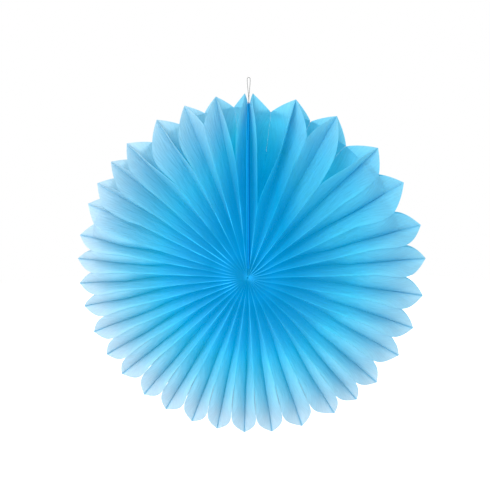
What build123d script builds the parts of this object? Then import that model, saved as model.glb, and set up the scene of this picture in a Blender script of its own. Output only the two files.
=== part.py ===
from build123d import *
import math
import os

# A hanging tissue fan, opened all the way round and closed on itself at 12 o'clock.
# Lengths are in millimetres and angles in degrees. The fan stands in the XZ plane with
# its hub axis on Y and its front towards -Y. Bearings turn anticlockwise from the top,
# as seen from the front.

# The die-cut leaf
tip_radius = 200.0          # hub axis to the pointed tips
leaf_width = 76.0           # front edge to back edge of the closed stack
leaf_thickness = 0.3        # stands for thin tissue, so that a petal is a sound solid
core_radius = 6.0           # inner ends of the leaves, pressed together round the hub
glued_edge_end = 128.0      # front and back glue lines stop here, and the pointed arch begins
arch_power = 3.0            # fullness of the arch
tip_width = 1.6             # blunt end of the arch

# How the petals hang: the opening between each pair of middle lines, from the seam
# anticlockwise. The fan is drawn wide at the upper right and close on the left.
petal_openings = [
    10.5, 10.5, 10.0, 12.5, 8.0, 8.5, 7.5, 11.0, 8.0, 8.5, 8.0, 9.5,
    9.0, 8.5, 10.5, 9.0, 10.0, 9.0, 9.5, 9.5, 10.5, 12.0, 9.0, 9.0,
    12.0, 10.5, 11.5, 12.5, 11.0, 15.0, 14.0, 16.5, 14.0, 15.0,
]
closed_from, closed_full = 73.0, 80.0       # left side: below here the front edges close up
closed_until, closed_end = 285.0, 325.0     # right side: above here they open again
edge_lean = 3.6             # how far the closed front edges lean towards the top
lean_share_limit = 0.6      # of half an opening, so that no leaf folds flat on its neighbour
tip_flare = 3.5             # angle of a leaf at its tip, for each degree that it has where the glue stops
widest_spread = 88.0        # limit of that angle, which is measured from the petal's middle plane
spread_share = 0.6          # of the free length, by which leaves that stand open reach that angle
swing_power = 2.4           # leaves that have closed up swing out to it late, towards the tip
leaf_clearance = 0.4        # between neighbouring leaves past the glue
least_edge_depth = 0.1      # of a glued edge's depth, for the inner corner of its narrow flat

FRONT, BACK = 1, -1
LEFT, RIGHT = 1, -1         # anticlockwise and clockwise side of a petal

# Leaves that stand at an angle of their own at the tip, by petal number. Near the top the front ones
# have come away from their neighbours, and at boundary 33 so has part of the glued edge.
own_tip_spreads = {
    (FRONT, LEFT): {
        0: 18.0, 1: 35.0, 2: 30.0, 3: 42.0, 4: 30.0, 5: 27.0, 6: 45.0, 31: 20.0, 32: 35.0, 33: 3.0,
    },
    (FRONT, RIGHT): {
        1: 16.0, 2: 33.0, 3: 13.0, 4: 16.0, 5: 22.0, 6: 21.0, 7: 20.0, 30: 50.0, 32: 32.0, 33: 43.0, 34: 15.0,
    },
    (BACK, LEFT): {2: 30.0, 3: 50.0},
    (BACK, RIGHT): {},
}
loose_edge_length = 47.0
early_glue_end = {33: glued_edge_end - loose_edge_length}

# The seam: two stiff end cards, adhesive between them, and the hanging thread
card_thickness = 0.5
card_margin = 2.0           # how much narrower than the stack a card is, each side
card_start = 10.0           # inner end of the cards and of the two half petals
card_tip_radius = 190.0
free_tip_length = 16.0      # of the half petals, leaning away from the seam
free_tip_lean = 3.5         # how far they lean at the tip
adhesive_thickness = 0.8
adhesive_width = 18.0
adhesive_from_middle = 6.0  # leaves the middle free for the thread
adhesive_start = 40.0
adhesive_end = 150.0
thread_diameter = 0.5
thread_route = [
    (0.0, -0.9, 178.0), (0.0, -1.0, 195.5), (-1.8, 0.0, 217.0),
    (1.8, 0.0, 217.0), (0.0, 1.0, 195.5), (0.0, 0.9, 178.0),
]
thread_bend_share = 0.45    # of the shorter run beside a bend, taken up by its arc
slight_bend_radius = 20.0   # of the bends that hardly turn the thread

half_width = leaf_width / 2
arch_length = tip_radius - glued_edge_end
card_face = adhesive_thickness / 2 + card_thickness
free_tip_start = tip_radius - free_tip_length
petal_count = len(petal_openings)

# Radii at which a petal's section is worked out: five along the glued part, then eight
# that crowd towards the tip, where the arch curves most.
glued_shares = (0.28, 0.64, 1.0)
arch_shares = (0.88, 0.74, 0.58, 0.42, 0.28, 0.16, 0.07, 0.0)
glued_stations = [core_radius, card_start]
glued_stations += [card_start + (glued_edge_end - card_start) * share for share in glued_shares]
arch_stations = [tip_radius - arch_length * share for share in arch_shares]
stations = glued_stations + arch_stations


def smooth(value, start, end):
    share = min(max((value - start) / (end - start), 0.0), 1.0)
    return share * share * (3 - 2 * share)


def blend(first, second, share):
    return first + (second - first) * share


def closed_share(bearing):
    """1 where the front leaves have closed up on their neighbours, 0 where they stand open."""
    return smooth(bearing, closed_from, closed_full) * (1 - smooth(bearing, closed_until, closed_end))


def middle_bearing(index, radius):
    """Bearing of a petal's middle line. Petal 0 and the last are the half petals on the cards."""
    scale = 360.0 / sum(petal_openings)
    bearing = sum(petal_openings[:index]) * scale
    if index in (0, petal_count) and radius >= card_start:
        lean = free_tip_lean * max((radius - free_tip_start) / free_tip_length, 0) ** 2
        offset = math.degrees(math.asin((card_face + lean) / radius))
        bearing += offset if index == 0 else -offset
    return bearing


def edge_glue_end(boundary, face):
    """Radius at which the edge glue between petal number boundary and the next one stops."""
    return early_glue_end.get(boundary, glued_edge_end) if face == FRONT else glued_edge_end


def glued_bearing(boundary, radius, face):
    """Bearing of the edge glue line between petal number boundary and the next one."""
    first, second = middle_bearing(boundary, radius), middle_bearing(boundary + 1, radius)
    middle, half_opening = (first + second) / 2, (second - first) / 2
    lean = -edge_lean * math.sin(math.radians(middle)) * closed_share(middle)
    limit = lean_share_limit * half_opening
    lean = min(max(lean, -limit), limit) * smooth(radius, 0, glued_stations[2])
    return middle + face * lean


def leaf_angle(radius, gap):
    """Angle to the middle plane at which a full half leaf spans a gap, which is an angle at the hub."""
    return math.degrees(math.asin(radius * math.sin(math.radians(gap)) / half_width))


def free_spread(index, side, face, radius):
    """Angle of a leaf to its petal's middle plane past the edge glue."""
    boundary = index if side == LEFT else index - 1
    end = edge_glue_end(boundary, face)
    start = leaf_angle(end, abs(glued_bearing(boundary, end, face) - middle_bearing(index, end)))
    share = (radius - end) / (tip_radius - end)
    early, late = smooth(share, 0, spread_share), share ** swing_power
    if index in own_tip_spreads[face, side]:
        return blend(start, own_tip_spreads[face, side][index], early)
    first, second = middle_bearing(boundary, end), middle_bearing(boundary + 1, end)
    flared = min(tip_flare * leaf_angle(end, (second - first) / 2), widest_spread)
    return blend(start, flared, blend(early, late, closed_share((first + second) / 2)))


def edge_bearing(boundary, radius, face):
    """Bearing where two neighbouring leaves are glued or, past the glue, would touch: it divides
    the opening in proportion to how far each of the two spreads."""
    if radius <= edge_glue_end(boundary, face):
        return glued_bearing(boundary, radius, face)
    from_first = math.sin(math.radians(free_spread(boundary, LEFT, face, radius)))
    from_second = math.sin(math.radians(free_spread(boundary + 1, RIGHT, face, radius)))
    first, second = middle_bearing(boundary, radius), middle_bearing(boundary + 1, radius)
    return blend(first, second, from_first / (from_first + from_second))


def half_leaf(radius):
    """Width of half a leaf at a radius: the full strip, then one side of a pointed arch."""
    share = max((radius - glued_edge_end) / arch_length, 0)
    return max(half_width * (1 - share ** arch_power), tip_width / 2)


def to_space(bearing, radius, sideways, depth):
    """A point of the section that is square to a petal's middle line."""
    turn = math.radians(bearing)
    return Vector(
        -radius * math.sin(turn) - sideways * math.cos(turn),
        -depth,
        radius * math.cos(turn) - sideways * math.sin(turn),
    )


class Arm:
    """Half of one leaf in the section at a radius, from the middle line to its free or glued edge.

    spread is its angle to the middle plane. groove and cell are the two corners of its edge:
    groove on the side of the petal's own valley, cell on the side of the next petal.
    """

    def __init__(self, index, radius, side, face):
        own = middle_bearing(index, radius)
        boundary = index if side == LEFT else index - 1
        edge = edge_bearing(boundary, radius, face)
        gap = abs(edge - own)
        opening = abs(middle_bearing(boundary + 1, radius) - middle_bearing(boundary, radius))
        if radius <= edge_glue_end(boundary, face):
            self.meet_edge(own, radius, side, face, edge, gap, opening)
        else:
            self.stand_free(own, radius, side, face, gap, free_spread(index, side, face, radius))

    def meet_edge(self, own, radius, side, face, edge, gap, opening):
        """The edge is a narrow flat on the plane that is shared with the neighbour."""
        depth = math.sqrt(half_width ** 2 - (radius * math.sin(math.radians(opening / 2))) ** 2)
        reach = radius * math.sin(math.radians(gap))
        length = math.hypot(reach, depth)
        self.spread = math.atan2(reach, depth) + math.asin(leaf_thickness / 2 / length)
        inner = (reach * math.cos(self.spread) - leaf_thickness / 2) / math.sin(self.spread)
        inner = max(inner, least_edge_depth * depth)
        self.groove = to_space(edge, radius, 0, face * depth)
        self.cell = to_space(edge, radius, 0, face * inner)

    def stand_free(self, own, radius, side, face, gap, spread):
        """Past the glue the leaf keeps clear of its neighbour and follows the arch."""
        width = half_leaf(radius)
        room = radius * math.tan(math.radians(gap)) - leaf_clearance / 2 - leaf_thickness / 2
        reach = min(width * math.sin(math.radians(spread)), room)
        self.spread = math.asin(reach / width)
        across, deep = math.cos(self.spread) * leaf_thickness / 2, math.sin(self.spread) * leaf_thickness / 2
        depth = width * math.cos(self.spread)
        self.groove = to_space(own, radius, side * (reach - across), face * (depth + deep))
        self.cell = to_space(own, radius, side * (reach + across), face * (depth - deep))


def valley(index, radius, left, right, face):
    """Bottom of the groove between the two arms of one face."""
    total = left.spread + right.spread
    depth = leaf_thickness / 2 * (math.cos(left.spread) + math.cos(right.spread)) / math.sin(total)
    sideways = (depth * math.sin(left.spread) - leaf_thickness / 2) / math.cos(left.spread)
    return to_space(middle_bearing(index, radius), radius, sideways, face * depth)


def cell_corner(index, radius, front, back, side):
    """Outer corner of the middle glue line, on the side of the next petal."""
    total = front.spread + back.spread
    sideways = leaf_thickness / 2 * (math.sin(front.spread) + math.sin(back.spread)) / math.sin(total)
    depth = (sideways * math.cos(front.spread) - leaf_thickness / 2) / math.sin(front.spread)
    return to_space(middle_bearing(index, radius), radius, side * sideways, depth)


def petal_section(index, radius):
    """Twelve corners of the X that two leaves make at one radius."""
    arm = {(side, face): Arm(index, radius, side, face) for side in (LEFT, RIGHT) for face in (FRONT, BACK)}
    corners = [valley(index, radius, arm[LEFT, FRONT], arm[RIGHT, FRONT], FRONT)]
    corners += [arm[LEFT, FRONT].groove, arm[LEFT, FRONT].cell]
    corners += [cell_corner(index, radius, arm[LEFT, FRONT], arm[LEFT, BACK], LEFT)]
    corners += [arm[LEFT, BACK].cell, arm[LEFT, BACK].groove]
    corners += [valley(index, radius, arm[LEFT, BACK], arm[RIGHT, BACK], BACK)]
    corners += [arm[RIGHT, BACK].groove, arm[RIGHT, BACK].cell]
    corners += [cell_corner(index, radius, arm[RIGHT, FRONT], arm[RIGHT, BACK], RIGHT)]
    corners += [arm[RIGHT, FRONT].cell, arm[RIGHT, FRONT].groove]
    return corners


def half_petal_section(index, radius):
    """Seven corners of the single leaf that is glued along its middle to an end card."""
    side = LEFT if index == 0 else RIGHT
    front, back = Arm(index, radius, side, FRONT), Arm(index, radius, side, BACK)
    own = middle_bearing(index, radius)
    seat = [to_space(own, radius, 0, face * leaf_thickness / 2 / math.sin(arm.spread))
            for face, arm in ((FRONT, front), (BACK, back))]
    corners = [seat[0], front.groove, front.cell]
    corners += [cell_corner(index, radius, front, back, side)]
    corners += [back.cell, back.groove, seat[1]]
    return corners


def facet(*corners):
    return Face(Wire.make_polygon(corners, close=True))


def folded_solid(sections):
    """Closed solid of flat facets between sections that have the same number of corners.

    Every third corner, from the first one on, lies on the middle glue line. Each leaf creases from
    there, at the inner section, to its edge at the outer one, on both of its sides alike.
    """
    faces = []
    count = len(sections[0])
    for inner, outer in zip(sections, sections[1:]):
        for corner in range(count):
            after = (corner + 1) % count
            if corner % 3 == 0:
                faces.append(facet(inner[corner], inner[after], outer[after]))
                faces.append(facet(inner[corner], outer[after], outer[corner]))
            else:
                faces.append(facet(inner[corner], inner[after], outer[corner]))
                faces.append(facet(inner[after], outer[after], outer[corner]))
    for section in (sections[0], sections[-1]):
        glue_corners = section[::3]
        middle = sum(glue_corners, Vector(0, 0, 0)) / len(glue_corners)
        faces += [facet(middle, section[corner], section[(corner + 1) % count]) for corner in range(count)]
    return Solid(Shell(faces))


def petal(index):
    return folded_solid([petal_section(index, radius) for radius in stations])


def half_petal(index):
    outer_stations = [radius for radius in stations if radius >= card_start]
    return folded_solid([half_petal_section(index, radius) for radius in outer_stations])


def end_card(side):
    """Stiff card with the leaf's pointed outline, a little smaller, one face against the adhesive."""
    width = half_width - card_margin
    shoulder = glued_edge_end - card_margin
    outline = Plane.YZ * make_face(
        Polyline((width, shoulder), (width, card_start), (-width, card_start), (-width, shoulder))
        + arch_side(-width, shoulder) + arch_side(width, shoulder)
    )
    inner_face = adhesive_thickness / 2
    card = extrude(outline, card_thickness, dir=(-side, 0, 0))
    return Pos(-side * inner_face, 0, 0) * card


def arch_side(edge, shoulder):
    """One side of the pointed arch: an arc that leaves the straight edge and ends at the tip."""
    rise = card_tip_radius - shoulder
    width = abs(edge)
    arc = (rise ** 2 + width ** 2) / (2 * width)
    turn = math.asin(rise / arc) / 2
    sign = math.copysign(1, edge)
    halfway = (sign * (width - arc + arc * math.cos(turn)), shoulder + arc * math.sin(turn))
    return ThreePointArc((edge, shoulder), halfway, (0, card_tip_radius))


def adhesive_strip(face):
    middle = adhesive_from_middle + adhesive_width / 2
    length = adhesive_end - adhesive_start
    strip = Box(adhesive_thickness, adhesive_width, length)
    return Pos(0, -face * middle, adhesive_start + length / 2) * strip


def hanging_thread():
    """Loop above the cards, with both legs between them. Every bend is a tangent arc."""
    points = [Vector(*point) for point in thread_route]
    runs = [after - before for before, after in zip(points, points[1:])]
    radii = []
    for before, after in zip(runs, runs[1:]):
        half_turn = math.radians(before.get_angle(after)) / 2
        widest = thread_bend_share * min(before.length, after.length) / math.tan(half_turn)
        radii.append(min(widest, slight_bend_radius))
    print("thread bend radii", [round(radius, 2) for radius in radii])
    path = FilletPolyline(*points, radius=radii)
    start = Plane(origin=points[0], z_dir=runs[0])
    thread = sweep(start * Circle(thread_diameter / 2), path=path)
    section = math.pi * thread_diameter ** 2 / 4
    print("thread length", round(path.length, 2), "volume ratio", round(thread.volume / section / path.length, 4))
    return thread


os.makedirs("parts", exist_ok=True)

for number in range(1, petal_count):
    export_step(petal(number), f"parts/petal_{number:02d}.step")
export_step(half_petal(0), "parts/half_petal_left.step")
export_step(half_petal(petal_count), "parts/half_petal_right.step")
export_step(end_card(LEFT), "parts/end_card_left.step")
export_step(end_card(RIGHT), "parts/end_card_right.step")
export_step(adhesive_strip(FRONT), "parts/adhesive_strip_front.step")
export_step(adhesive_strip(BACK), "parts/adhesive_strip_back.step")
export_step(hanging_thread(), "parts/hanging_thread.step")
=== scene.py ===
import math

import bpy
import numpy as np
from mathutils import Matrix, Vector


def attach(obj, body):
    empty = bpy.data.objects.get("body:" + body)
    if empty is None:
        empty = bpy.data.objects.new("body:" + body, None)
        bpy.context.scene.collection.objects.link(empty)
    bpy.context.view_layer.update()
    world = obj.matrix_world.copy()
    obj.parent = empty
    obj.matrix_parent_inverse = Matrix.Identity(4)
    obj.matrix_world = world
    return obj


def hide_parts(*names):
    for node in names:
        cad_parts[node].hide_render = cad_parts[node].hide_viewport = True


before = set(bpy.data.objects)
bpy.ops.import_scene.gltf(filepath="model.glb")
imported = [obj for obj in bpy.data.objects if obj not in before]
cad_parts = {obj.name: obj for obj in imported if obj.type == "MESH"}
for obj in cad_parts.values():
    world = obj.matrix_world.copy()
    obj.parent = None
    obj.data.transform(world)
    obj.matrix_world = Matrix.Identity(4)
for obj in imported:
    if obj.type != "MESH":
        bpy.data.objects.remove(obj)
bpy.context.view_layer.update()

# The camera stands where the photograph was taken from, a little above the hub and to its right.
# A 60 mm lens on the 36 mm width gives the photograph's field of view.
camera_place = Vector((0.0535, -0.9124, 0.2178))
camera_aim = Vector((-0.0051, 0.0, 0.0300))
camera_roll = math.radians(-0.32)


def in_scene(name, data):
    """A new object with the given data, linked into the scene."""
    thing = bpy.data.objects.new(name, data)
    bpy.context.scene.collection.objects.link(thing)
    return thing


camera = in_scene("camera", bpy.data.cameras.new("camera"))
camera.data.lens = 60
camera.data.sensor_width = 36
looking = (camera_aim - camera_place).to_track_quat("-Z", "Y").to_matrix().to_4x4()
camera.matrix_world = Matrix.Translation(camera_place) @ looking @ Matrix.Rotation(camera_roll, 4, "Z")
bpy.context.scene.camera = camera
bpy.context.scene.view_settings.view_transform = "Standard"


# The hanging thread is a loop of plain grey sewing thread, 0.5 mm thick.
# Both legs run down between the two end cards and are held by the tape there.
thread_diameter = 0.0005
thread_route = [
    (0.0, -0.0009, 0.178), (0.0, -0.0012, 0.187), (0.0, -0.0010, 0.1955), (-0.0008, -0.0006, 0.203),
    (-0.0015, -0.0002, 0.211), (-0.0018, 0.0, 0.217), (0.0018, 0.0, 0.217), (0.0015, 0.0002, 0.211),
    (0.0008, 0.0006, 0.203), (0.0, 0.0010, 0.1955), (0.0, 0.0012, 0.187), (0.0, 0.0009, 0.178),
]
strand_colours = [(0.05, 0.055, 0.06, 1), (0.14, 0.15, 0.15, 1)]


def set_inputs(tree, node, inputs):
    """Set each input of a shader node to a value, or link it to the given output of another node."""
    for name, given in inputs.items():
        if isinstance(given, bpy.types.NodeSocket):
            tree.links.new(given, node.inputs[name])
        else:
            node.inputs[name].default_value = given


def new_node(tree, kind, inputs, operation=None):
    """A new shader node, with its operation where its kind has one, and its inputs set or linked."""
    node = tree.nodes.new(kind)
    if operation:
        node.operation = operation
    set_inputs(tree, node, inputs)
    return node


def new_material(name, surface):
    """A material, its node tree and its surface shader, whose inputs are set as surface says."""
    material = bpy.data.materials.new(name)
    material.use_nodes = True
    shader = material.node_tree.nodes["Principled BSDF"]
    set_inputs(material.node_tree, shader, surface)
    return material, material.node_tree, shader


def colour_ramp(tree, place, steps):
    """Colour that passes through the steps, each a position and its colour, as place rises."""
    ramp = new_node(tree, "ShaderNodeValToRGB", {"Fac": place})
    elements = ramp.color_ramp.elements
    for number, (position, colour) in enumerate(steps):
        element = elements[number] if number < 2 else elements.new(position)
        element.position, element.color = position, colour
    return ramp.outputs["Color"]


def mottled_material(name, fineness, detail, colours, surface):
    """A material that wanders between two colours with a noise read in the piece's own space."""
    material, tree, shader = new_material(name, surface)
    place = tree.nodes.new("ShaderNodeTexCoord").outputs["Object"]
    noise = new_node(tree, "ShaderNodeTexNoise", {"Vector": place, "Scale": fineness, "Detail": detail})
    mottled = colour_ramp(tree, noise.outputs["Fac"], [(0.0, colours[0]), (1.0, colours[1])])
    set_inputs(tree, shader, {"Base Color": mottled})
    return material


line = bpy.data.curves.new("hanging_thread_line", "CURVE")
line.dimensions = "3D"
line.bevel_depth = thread_diameter / 2
line.bevel_resolution = 3
line.use_fill_caps = True
spline = line.splines.new("NURBS")
spline.points.add(len(thread_route) - 1)
spline.points.foreach_set("co", np.array([(*point, 1.0) for point in thread_route]).ravel())
spline.order_u = 3
spline.use_endpoint_u = True
spline.resolution_u = 8
spun_cotton = mottled_material("spun_cotton", 3000, 3, strand_colours, {
    "Roughness": 0.9, "Specular IOR Level": 0.2,
})
line.materials.append(spun_cotton)

hanging_thread = in_scene("thread_loop", line)
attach(hanging_thread, "root")
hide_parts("hanging_thread")


# The petals are pairs of die-cut leaves of thin, sky blue tissue, dyed through. They are glued to each
# other along their middle and to their neighbours along the front and back edges. Past those glue lines
# a leaf is free and ends in a point.
LEFT, RIGHT = 1, -1
FRONT, BACK = 1, -1
half_width = 0.038
tissue_thickness = 0.00008
core_radius = 0.0012
card_start = 0.010
glued_edge_end = 0.128
leaf_tip_radius = 0.200
tip_half_width = 0.0003
card_face = 0.0009
middle_glue = 0.0012
edge_glue = 0.0018
outermost_band = 0.0005
sharp_angle = math.radians(35)

# Front glue lines that give way sooner, by boundary. Number 33 lies between petal 33 and the right
# half petal.
early_glue_end = {33: 0.081}

# Bearings in degrees between which the front leaves, going round from the top, close up on their
# neighbours and come away again. The closed edges lean towards the top.
closing_bearings = (73.0, 80.0)
opening_bearings = (285.0, 325.0)
edge_lean = 3.6
lean_share_limit = 0.6
lean_full_radius = 0.043

# The free tips: the arch's form, and how far each leaf spreads from its petal's middle plane.
arch_power = 3.0
tip_flare = 3.5
widest_spread = math.radians(88)
spread_share = 0.6
swing_power = 2.4
own_tip_spreads = {
    (FRONT, LEFT): {
        0: 18.0, 1: 35.0, 2: 30.0, 3: 42.0, 4: 30.0, 5: 27.0, 6: 45.0, 31: 20.0, 32: 35.0, 33: 3.0,
    },
    (FRONT, RIGHT): {
        1: 16.0, 2: 33.0, 3: 13.0, 4: 16.0, 5: 22.0, 6: 21.0, 7: 20.0, 30: 50.0, 32: 32.0, 33: 43.0, 34: 15.0,
    },
    (BACK, LEFT): {2: 30.0, 3: 50.0},
    (BACK, RIGHT): {},
}
free_tip_start = 0.184
free_tip_lean = 0.0035
leaf_clearance = 0.00001
release_share = 0.1

# The paper's billow between its glue lines, whose start and power each glue line draws for itself.
# It is held back so that at the edge the paper goes sideways by sideways_limit of its width at most.
billow_seed = 34
billow_starts = (0.065, 0.110)
billow_run = 0.040
billow_powers = (1.0, 1.9)
sideways_limit = 0.92
least_rise = 0.05


def smooth(value, start, end):
    """0 up to start, 1 from end on, and the S-shaped rise 3s^2 - 2s^3 between them."""
    share = np.clip((value - start) / (end - start), 0.0, 1.0)
    return share * share * (3 - 2 * share)


def blend(first, second, share):
    """first where share is 0, second where it is 1, and in proportion between."""
    return first + (second - first) * share


def tip_bearing(node):
    """Bearing of the middle of a packed petal's outermost section, anticlockwise from the top, in degrees."""
    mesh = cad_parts[node].data
    points = np.empty(len(mesh.vertices) * 3)
    mesh.vertices.foreach_get("co", points)
    points = points.reshape(-1, 3)
    radius = np.hypot(points[:, 0], points[:, 2])
    tip = points[radius > radius.max() - outermost_band].mean(axis=0)
    return math.degrees(math.atan2(-tip[0], tip[2])) % 360


rng = np.random.default_rng(billow_seed)
whole_petals = sorted(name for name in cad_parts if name.startswith("petal_"))
bearings = np.array([0.0, *(tip_bearing(name) for name in whole_petals), 360.0])
last = len(bearings) - 1
billow_start = rng.uniform(*billow_starts, last)
billow_power = rng.uniform(*billow_powers, last)


def closed_share(bearing):
    """1 at the sides and below, where the front leaves have closed up on their neighbours, else 0."""
    return smooth(bearing, *closing_bearings) * (1 - smooth(bearing, *opening_bearings))


def middle_bearing(index, radius):
    """Bearing of a petal's middle line in degrees. A half petal's is shifted sideways by the card."""
    bearing = np.full_like(radius, bearings[index])
    lean = free_tip_lean * np.clip((radius - free_tip_start) / (leaf_tip_radius - free_tip_start), 0, 1) ** 2
    offset = np.degrees(np.arcsin((card_face + lean) / np.maximum(radius, card_start)))
    if index == 0:
        bearing += offset
    if index == last:
        bearing -= offset
    return bearing


def glue_line_end(boundary, face):
    """Radius at which the edge glue between petal number boundary and the next stops."""
    return early_glue_end.get(boundary, glued_edge_end) if face == FRONT else glued_edge_end


def glued_bearing(boundary, radius, face):
    """Bearing of the edge glue line between petal number boundary and the next: half way between their
    middle lines, leaning a few degrees towards the top where the front has closed up."""
    first, second = middle_bearing(boundary, radius), middle_bearing(boundary + 1, radius)
    middle, half_opening = (first + second) / 2, (second - first) / 2
    lean = -edge_lean * np.sin(np.radians(middle)) * closed_share(middle)
    limit = lean_share_limit * half_opening
    return middle + face * np.clip(lean, -limit, limit) * smooth(radius, 0, lean_full_radius)


def leaf_angle(radius, gap):
    """Angle to the middle plane at which a full half leaf spans a gap, given in degrees at the hub."""
    return np.arcsin(radius * np.sin(np.radians(gap)) / half_width)


def leaf_spread(index, side, face, radius):
    """Angle between a leaf and its petal's middle plane past the edge glue: from the angle that it
    has where the glue stops to its own at the tip."""
    boundary = index if side == LEFT else index - 1
    end = glue_line_end(boundary, face)
    at_end = np.full_like(radius, end)
    opening = middle_bearing(boundary + 1, at_end) - middle_bearing(boundary, at_end)
    start = leaf_angle(end, np.abs(glued_bearing(boundary, at_end, face) - middle_bearing(index, at_end)))
    at_tip = np.minimum(tip_flare * leaf_angle(end, opening / 2), widest_spread)
    share = (radius - end) / (leaf_tip_radius - end)
    early, late = smooth(share, 0, spread_share), np.clip(share, 0, 1) ** swing_power
    if index in own_tip_spreads[face, side]:
        return blend(start, math.radians(own_tip_spreads[face, side][index]), early)
    middle = (middle_bearing(boundary, at_end) + middle_bearing(boundary + 1, at_end)) / 2
    return blend(start, at_tip, blend(early, late, closed_share(middle)))


def edge_bearing(boundary, radius, face):
    """Bearing at which two neighbouring leaves are glued or, past the glue, would touch: it divides
    the opening in proportion to how far each of the two spreads."""
    first, second = middle_bearing(boundary, radius), middle_bearing(boundary + 1, radius)
    from_first = np.sin(leaf_spread(boundary, LEFT, face, radius))
    from_second = np.sin(leaf_spread(boundary + 1, RIGHT, face, radius))
    touching = blend(first, second, from_first / (from_first + from_second))
    return np.where(radius > glue_line_end(boundary, face), touching, glued_bearing(boundary, radius, face))


def half_leaf(radius):
    """Width of half a leaf: the full strip, then one side of a pointed arch, half_width (1 - share^3)."""
    share = np.clip((radius - glued_edge_end) / (leaf_tip_radius - glued_edge_end), 0, 1)
    return np.maximum(half_width * (1 - share ** arch_power), tip_half_width)


def arm(index, side, face, radius, across):
    """Half of one leaf, from the middle glue line (across 0) to its front or back edge (across 1).

    In the section at a radius, the sideways distance from the petal's middle plane is
    reach x across^power up to the narrow glued fin at the edge. The depth follows from the paper's
    own width, which doesn't stretch: it adds up sqrt(step^2 - sideways step^2), and at least
    least_rise of each step. Returns sideways, depth and the distance along the middle line, each as
    an array of radius by across.
    """
    own = middle_bearing(index, radius)
    boundary = index if side == LEFT else index - 1
    gap = np.radians(np.abs(edge_bearing(boundary, radius, face) - own))
    glue_end = glue_line_end(boundary, face)
    drawn_in = np.minimum(radius, glue_end) * (1 - np.cos(gap))
    room = (radius - drawn_in) * np.tan(gap)
    width = half_leaf(radius)
    share = np.clip((radius - glue_end) / (leaf_tip_radius - glue_end), 0, 1)
    apart = leaf_clearance / 2 * smooth(share, 0, release_share)
    free_reach = width * np.sin(leaf_spread(index, side, face, radius))
    reach = np.where(share > 0, np.minimum(free_reach, room - apart), room)
    reach = np.maximum(reach - tissue_thickness, tissue_thickness / 2)

    fin = edge_glue / half_width * (1 - smooth(share, 0, release_share))
    closed = np.ones_like(radius) if face == BACK else closed_share(own)
    billow = smooth(radius, billow_start[boundary], billow_start[boundary] + billow_run) * closed
    most = np.maximum(sideways_limit * width / reach, 1)
    power = np.clip(1 + billow_power[boundary] * billow, 1, most)
    sideways = tissue_thickness / 2 + reach * np.clip(across / (1 - fin), 0, 1) ** power
    step = width * np.diff(across)
    rise = np.sqrt(np.maximum(step ** 2 - np.diff(sideways, axis=1) ** 2, (least_rise * step) ** 2))
    flat = np.minimum(middle_glue / 2, width / 2)
    depth = np.concatenate([np.zeros_like(radius), np.cumsum(rise, axis=1)], axis=1)
    depth = flat + depth * (1 - flat / width)
    along = radius - drawn_in * sideways / np.maximum(room, tissue_thickness)
    return side * sideways, face * depth, along


def leaf_outline(index, side, radius, across):
    """One leaf's section as a line round it, thickness included, from the petal's valley at one face
    to its valley at the other: out along an arm, back along its far side, and so for the second arm.

    The paper's two faces are half its thickness to the left and right of the arm's own line.
    Returns points in space and the paper's own coordinates, as arrays of radius by outline.
    """
    parts = []
    for face in (FRONT, BACK) if side == LEFT else (BACK, FRONT):
        sideways, depth, along = arm(index, side, face, radius, across)
        run, climb = np.gradient(sideways, axis=1), np.gradient(depth, axis=1)
        length = np.hypot(run, climb)
        half = side * face * tissue_thickness / 2
        groove = sideways - climb / length * half, depth + run / length * half, along
        cell = sideways + climb / length * half, depth - run / length * half, along
        groove[0][:, 0] = 0
        cell[0][:, 0] = side * tissue_thickness
        groove[1][:, 0] = cell[1][:, 0] = depth[:, 0]
        paper = np.broadcast_to(face * across * half_leaf(radius), sideways.shape)
        parts.append([np.stack([*faces, paper], axis=-1) for faces in (groove, cell)])
    (first_groove, first_cell), (second_groove, second_cell) = parts
    line = [first_groove, first_cell[:, ::-1], second_cell, second_groove[:, ::-1]]
    sideways, depth, along, paper = np.moveaxis(np.concatenate(line, axis=1), -1, 0)
    turn = np.radians(middle_bearing(index, radius))
    points = np.stack([
        -along * np.sin(turn) - sideways * np.cos(turn),
        -depth,
        along * np.cos(turn) - sideways * np.sin(turn),
    ], axis=-1)
    return points, np.stack([paper, np.broadcast_to(radius / leaf_tip_radius, paper.shape)], axis=-1)


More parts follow.
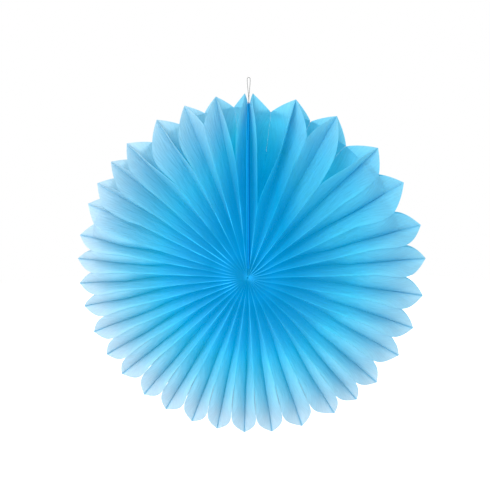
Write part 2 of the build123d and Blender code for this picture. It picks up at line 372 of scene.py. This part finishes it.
def petal_mesh(name, index, sides, radius, across):
    """A mesh of one or two leaves: the outlines of all sections joined by quads. It is not closed.
    Strips of quads were meant to close its thin ends, at the hub and at the tip, see below."""
    outlines = [leaf_outline(index, side, radius, across) for side in sides]
    if len(sides) == 2:
        outlines = [tuple(part[:, :-1] for part in outline) for outline in outlines]
    points, paper = (np.concatenate(part, axis=1) for part in zip(*outlines))
    rows, columns = points.shape[:2]
    grid = np.arange(rows * columns).reshape(rows, columns)
    after = np.roll(grid, -1, axis=1)
    quads = [np.stack([grid[:-1], grid[1:], after[1:], after[:-1]], axis=-1).reshape(-1, 4)]

    # Known fault: across is an array of one row, so its len is 1 and not its 12 points. The arms'
    # strips come out empty, and the one quad left at each leaf's end joins the wrong points.
    count = len(across)
    outward = np.arange(count - 1)
    arm_end = np.stack([outward, outward + 1, 2 * count - 2 - outward, 2 * count - 1 - outward], axis=-1)
    middle_end = np.array([[0, 2 * count - 1, 2 * count, 4 * count - 1]])
    leaf_end = np.concatenate([arm_end, arm_end + 2 * count, middle_end])
    for number in range(len(sides)):
        end = (leaf_end + number * (4 * count - 1)) % columns
        quads += [grid[0][end], grid[-1][end][:, ::-1]]

    mesh = bpy.data.meshes.new(name)
    mesh.from_pydata(points.reshape(-1, 3), [], np.concatenate(quads).tolist())
    leaf_map = mesh.uv_layers.new(name="leaf")
    corners = np.empty(len(mesh.loops), dtype=int)
    mesh.loops.foreach_get("vertex_index", corners)
    leaf_map.data.foreach_set("uv", paper.reshape(-1, 2)[corners].ravel())
    mesh.shade_smooth()
    mesh.set_sharp_from_angle(angle=sharp_angle)
    mesh.validate()
    return mesh


# The tissue's colours go by the share of the radius, from the hub to the tips. Painted shade makes the folds
# a deep azure towards the hub, and the single leaves at the tips are the palest; a painted glow stands in for
# the light that seeps through many leaves into the folds.
dye_and_painted_shade_by_radius = [
    (0.19, (0.0, 0.40, 0.66, 1)), (0.50, (0.17, 0.69, 0.86, 1)), (0.95, (0.69, 0.82, 0.90, 1)),
]
# Colour of the painted glow by the same share of the radius, strongest in the folds near the hub.
painted_glow_by_radius = [
    (0.02, (0.0, 0.130, 0.170, 1)), (0.14, (0.0, 0.172, 0.235, 1)),
    (0.55, (0.0, 0.092, 0.085, 1)), (0.85, (0.006, 0.022, 0.018, 1)),
]
# Colour of the painted highlight along the leaves' edges.
painted_edge_highlight_colour = (0.14, 0.80, 0.97, 1)
# Colour of the painted shade in the leaves' middle creases.
painted_crease_shade_colour = (0.05, 0.50, 0.72, 1)
# Where painted light and shade fall: towards the upper right, and in a band beside the seam at these heights.
upper_right = (0.64, 0, 0.77)
seam_band_middle = 0.010
seam_share_by_height = [(0.03, 0.0), (0.10, 1.0), (0.135, 1.0), (0.18, 0.25)]
sheer_share = 0.65


def combined(tree, operation, *terms):
    """Result of a Math operation on one or two terms, each a value or an output."""
    return new_node(tree, "ShaderNodeMath", dict(enumerate(terms)), operation).outputs["Value"]


def ranged(tree, value, reach, results):
    """The first result up to the start of reach, the second from its end on, and a straight line between."""
    inputs = {"Value": value, "From Min": reach[0], "From Max": reach[1]}
    inputs.update({"To Min": results[0], "To Max": results[1]})
    return new_node(tree, "ShaderNodeMapRange", inputs).outputs["Result"]


def mixed(tree, share, first, second):
    """Colour that is first where share is 0 and second where it is 1."""
    mix = tree.nodes.new("ShaderNodeMix")
    mix.data_type = "RGBA"
    set_inputs(tree, mix, {"Factor": share, "A": first, "B": second})
    return mix.outputs["Result"]


def leaf_noise(tree, stretch, detail, distortion):
    """Noise on the paper's own coordinates that runs outwards: stretch says how often it changes
    across the leaf and along it."""
    stretched = new_node(tree, "ShaderNodeMapping", {"Vector": leaf_place.outputs["UV"], "Scale": stretch})
    return new_node(tree, "ShaderNodeTexNoise", {
        "Vector": stretched.outputs["Vector"], "Scale": 1.0, "Detail": detail, "Distortion": distortion,
    }).outputs["Fac"]


tissue, tree, tissue_surface = new_material("blue_tissue", {
    "Roughness": 0.85, "Specular IOR Level": 0.08, "Sheen Weight": 0.05,
})
tissue.cycles.emission_sampling = "NONE"
leaf_place = tree.nodes.new("ShaderNodeUVMap")
leaf_place.uv_map = "leaf"
on_leaf = new_node(tree, "ShaderNodeSeparateXYZ", {"Vector": leaf_place.outputs["UV"]}).outputs
fan_place = tree.nodes.new("ShaderNodeTexCoord").outputs["Object"]
in_fan = new_node(tree, "ShaderNodeSeparateXYZ", {"Vector": fan_place}).outputs

# Painted light makes the colour paler at the lower left, and painted shade makes it deeper at the upper
# right; beside the seam painted shade deepens both the colour and the painted glow. Each shade is taken from
# nearer the hub or farther out by a shift.
to_upper_right = new_node(
    tree, "ShaderNodeVectorMath", {0: fan_place, 1: upper_right}, "DOT_PRODUCT").outputs["Value"]
painted_light_and_shade_shift = ranged(tree, to_upper_right, (-0.15, 0.15), (0.07, -0.15))
painted_shade_shift = ranged(tree, to_upper_right, (0.10, 0.17), (0.0, -0.15))
beside_seam = combined(tree, "ABSOLUTE", combined(tree, "SUBTRACT", in_fan["X"], seam_band_middle))
painted_seam_shade = ranged(tree, beside_seam, (0.022, 0.048), (-0.22, 0.0))
above_hub = colour_ramp(tree, in_fan["Z"], [
    (height, (share, share, share, 1)) for height, share in seam_share_by_height
])
painted_seam_shade_shift = combined(tree, "MULTIPLY", painted_seam_shade, above_hub)
radius_with_painted_seam_shade = combined(tree, "ADD", on_leaf["Y"], painted_seam_shade_shift)
painted_shade_place = combined(tree, "ADD", radius_with_painted_seam_shade, combined(tree, "ADD", painted_light_and_shade_shift, painted_shade_shift))
dye_and_painted_shade = colour_ramp(tree, painted_shade_place, dye_and_painted_shade_by_radius)

# A painted highlight runs along the leaf's edge as a light line, in patches, and is weaker farther out and at
# the right.
from_middle_line = combined(tree, "ABSOLUTE", on_leaf["X"])
near_edge = ranged(tree, from_middle_line, (0.034, 0.037), (0.0, 1.0))
edge_fades = ranged(tree, on_leaf["Y"], (0.40, 0.62), (1.0, 0.1))
less_at_right = ranged(tree, in_fan["X"], (0.0, 0.03), (1.0, 0.25))
patches = new_node(tree, "ShaderNodeTexNoise", {"Vector": fan_place, "Scale": 28, "Detail": 1})
edge_shows = ranged(tree, patches.outputs["Fac"], (0.38, 0.62), (0.0, 0.9))
faded_edge = combined(tree, "MULTIPLY", near_edge, edge_fades)
mostly_left_edge = combined(tree, "MULTIPLY", faded_edge, less_at_right)
painted_edge_highlight_share = combined(tree, "MULTIPLY", mostly_left_edge, edge_shows)
with_painted_edge_highlight = mixed(tree, painted_edge_highlight_share, dye_and_painted_shade, painted_edge_highlight_colour)

# Painted shade runs along the leaf's middle glue as a darker crease line, and is weaker towards the top.
near_middle = ranged(tree, from_middle_line, (0.0005, 0.0024), (0.45, 0.0))
less_at_top = ranged(tree, in_fan["Z"], (-0.02, 0.10), (1.0, 0.3))
painted_crease_shade_share = combined(tree, "MULTIPLY", near_middle, less_at_top)
with_painted_crease_shade = mixed(tree, painted_crease_shade_share, with_painted_edge_highlight, painted_crease_shade_colour)

# Fine fibres shade the colour, and soft creases dent the surface.
fibre_shade = ranged(tree, leaf_noise(tree, (500, 12, 1), 3, 0.0), (0.3, 0.7), (0.95, 1.04))
# The colour, fibres included, carries the dye together with the painted shade and painted highlight.
tissue_colour_with_painted_light = new_node(
    tree, "ShaderNodeVectorMath", {"Vector": with_painted_crease_shade, "Scale": fibre_shade}, "SCALE").outputs["Vector"]
creased = new_node(tree, "ShaderNodeBump", {
    "Strength": 0.4, "Distance": 0.004, "Height": leaf_noise(tree, (110, 6, 1), 2, 0.6),
}).outputs["Normal"]
set_inputs(tree, tissue_surface, {"Base Color": tissue_colour_with_painted_light, "Normal": creased})

# Part of the light goes through the sheet, and a painted glow is added for what would seep in through the
# others.
glow = new_node(tree, "ShaderNodeBsdfTranslucent", {"Color": tissue_colour_with_painted_light, "Normal": creased})
sheer = new_node(tree, "ShaderNodeMixShader", {
    "Fac": sheer_share, 1: tissue_surface.outputs["BSDF"], 2: glow.outputs["BSDF"],
})
painted_glow_colour = colour_ramp(tree, radius_with_painted_seam_shade, painted_glow_by_radius)
painted_glow = new_node(tree, "ShaderNodeEmission", {"Color": painted_glow_colour})
with_painted_glow = new_node(tree, "ShaderNodeAddShader", {
    0: sheer.outputs["Shader"], 1: painted_glow.outputs["Emission"],
})
set_inputs(tree, tree.nodes["Material Output"], {"Surface": with_painted_glow.outputs["Shader"]})

# Sections stand closer together towards the end of the glue, and again towards the tip.
glued_row_count, glued_row_power = 26, 0.8
free_row_count = 32
points_across = 11
glued_rows = np.linspace(0, 1, glued_row_count) ** glued_row_power
free_rows = np.sin(np.linspace(0, math.pi / 2, free_row_count)[1:])
petal_rows = np.concatenate([
    core_radius + (glued_edge_end - core_radius) * glued_rows,
    glued_edge_end + (leaf_tip_radius - glued_edge_end) * free_rows,
])[:, None]
petal_across = np.append(np.linspace(0, 1 - edge_glue / half_width, points_across), 1.0)[None, :]

for index in range(last + 1):
    node, sides = f"petal_{index:02d}", (LEFT, RIGHT)
    if index == 0:
        node, sides = "half_petal_left", (LEFT,)
    if index == last:
        node, sides = "half_petal_right", (RIGHT,)
    leaves = petal_mesh(f"tissue_{node}", index, sides, petal_rows, petal_across)
    leaves.materials.append(tissue)
    tissue_petal = in_scene(f"tissue_{node}", leaves)
    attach(tissue_petal, "root")
    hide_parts(node)


# The two end cards are stiff blue board, cut like a leaf, and carry the outermost half petals.
# They keep the form that they are cut to, edge on to the viewer.
# The board is blue; its darkness is partly painted shade from between the leaves.
board_colours_with_painted_shade = [(0.0, 0.20, 0.52, 1), (0.0, 0.26, 0.60, 1)]


def cover(names, material):
    """Give each of the named pieces this material alone."""
    for name in names:
        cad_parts[name].data.materials.clear()
        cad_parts[name].data.materials.append(material)


# The board's emission is a painted glow.
board = mottled_material("blue_board_with_painted_glow", 900, 4, board_colours_with_painted_shade, {
    "Emission Color": (0.0, 0.10, 0.17, 1), "Emission Strength": 1.0,
    "Roughness": 0.8, "Specular IOR Level": 0.1,
})
cover(("end_card_left", "end_card_right"), board)


# Double-sided tape joins the cards and so closes the ring.
# It is a milky film that shows only between the cards' edges.
film_colours = [(0.08, 0.55, 0.85, 1), (0.20, 0.68, 0.92, 1)]

# The film's emission is a painted glow.
tape = mottled_material("clear_tape_with_painted_glow", 400, 2, film_colours, {
    "Emission Color": (0.0, 0.09, 0.09, 1), "Emission Strength": 1.0, "Roughness": 0.35,
})
cover(("adhesive_strip_front", "adhesive_strip_back"), tape)


# The stage is a round pale floor well below the hanging fan, a white surround and one round lamp.
# Towards its rim the floor shows as white as the surround, and under the fan it keeps the soft shadow.
floor_depth = -0.60
floor_radius = 2.5
floor_rim_count = 96
whitening_start = 0.8
floor_lifts = (0.30, 1.0)
surround_levels = (0.98, 1.0)

rim = np.linspace(0, 2 * math.pi, floor_rim_count, endpoint=False)
rim_points = np.stack([
    floor_radius * np.cos(rim), floor_radius * np.sin(rim), np.full_like(rim, floor_depth),
], -1)
floor_mesh = bpy.data.meshes.new("floor")
floor_mesh.from_pydata(rim_points, [], [range(len(rim))])
floor = in_scene("floor", floor_mesh)

pale, tree, floor_surface = new_material("pale_floor", {
    "Base Color": (0.90, 0.90, 0.90, 1), "Roughness": 1.0, "Specular IOR Level": 0.0,
})
floor_place = tree.nodes.new("ShaderNodeTexCoord").outputs["Object"]
from_middle = new_node(tree, "ShaderNodeVectorMath", {0: floor_place}, "LENGTH").outputs["Value"]
whitening = ranged(tree, from_middle, (whitening_start, floor_radius), floor_lifts)
seen = tree.nodes.new("ShaderNodeLightPath").outputs["Is Camera Ray"]
lift = new_node(tree, "ShaderNodeEmission", {"Strength": combined(tree, "MULTIPLY", whitening, seen)})
both = new_node(tree, "ShaderNodeAddShader", {
    0: floor_surface.outputs["BSDF"], 1: lift.outputs["Emission"],
})
set_inputs(tree, tree.nodes["Material Output"], {"Surface": both.outputs["Shader"]})
floor_mesh.materials.append(pale)

world = bpy.data.worlds.new("surround")
bpy.context.scene.world = world
world.use_nodes = True
tree = world.node_tree
rays = tree.nodes.new("ShaderNodeLightPath").outputs
shown = combined(tree, "MAXIMUM", rays["Is Camera Ray"], rays["Is Glossy Ray"])
shown_through = combined(tree, "MAXIMUM", shown, rays["Is Transmission Ray"])
set_inputs(tree, tree.nodes["Background"], {
    "Color": (1, 1, 1, 1), "Strength": ranged(tree, shown_through, (0.0, 1.0), surround_levels),
})

softbox = bpy.data.lights.new("softbox", "AREA")
softbox.shape = "DISK"
softbox.size = 1.2
softbox.energy = 48
softbox_stand = in_scene("softbox", softbox)
softbox_stand.location = (-0.75, -2.2, 0.9)
softbox_stand.rotation_euler = (-Vector(softbox_stand.location)).to_track_quat("-Z", "Y").to_euler()
